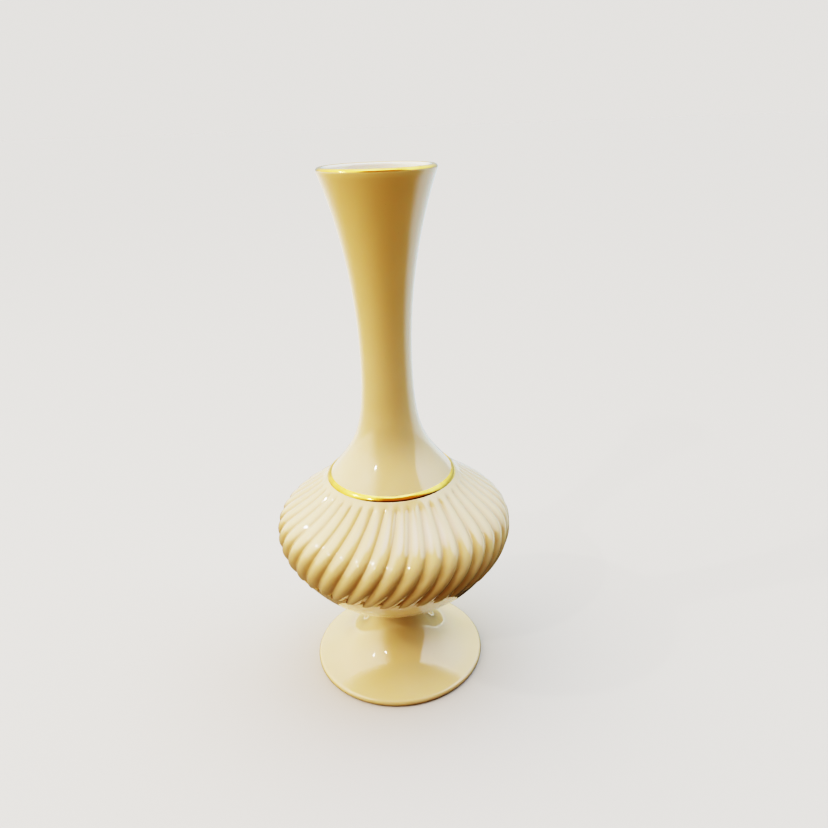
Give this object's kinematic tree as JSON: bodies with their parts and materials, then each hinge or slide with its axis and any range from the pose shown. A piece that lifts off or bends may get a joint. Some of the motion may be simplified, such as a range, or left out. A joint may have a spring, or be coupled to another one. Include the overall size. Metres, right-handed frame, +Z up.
{
  "type": "porcelain vase",
  "caption": "Slim porcelain bud vase with a trumpet neck, a swirl-fluted bulb, a hollow pedestal foot and gold bands, to hold a few stems.",
  "frame": {"origin": "centre of the foot ring, on the surface that the vase stands on", "axes": "+Z up along the vase's axis, from the foot to the lip; the vase looks the same from all sides, so +X and +Y are free"},
  "size_m": [0.0878, 0.0878, 0.19],
  "materials": {
    "ivory_glaze": "glossy warm ivory glaze on porcelain",
    "bisque": "unglazed fired porcelain slip",
    "fired_gold": "burnished gold fired on the glaze"
  },
  "bodies": {
    "root": {"trumpet_neck": "ivory_glaze", "fluted_bulb": "ivory_glaze", "pedestal_foot": "ivory_glaze", "neck_luting_slip": "bisque", "foot_luting_slip": "bisque", "neck_gold_band": "fired_gold", "rim_gold_band": "fired_gold"}
  },
  "joints": []
}
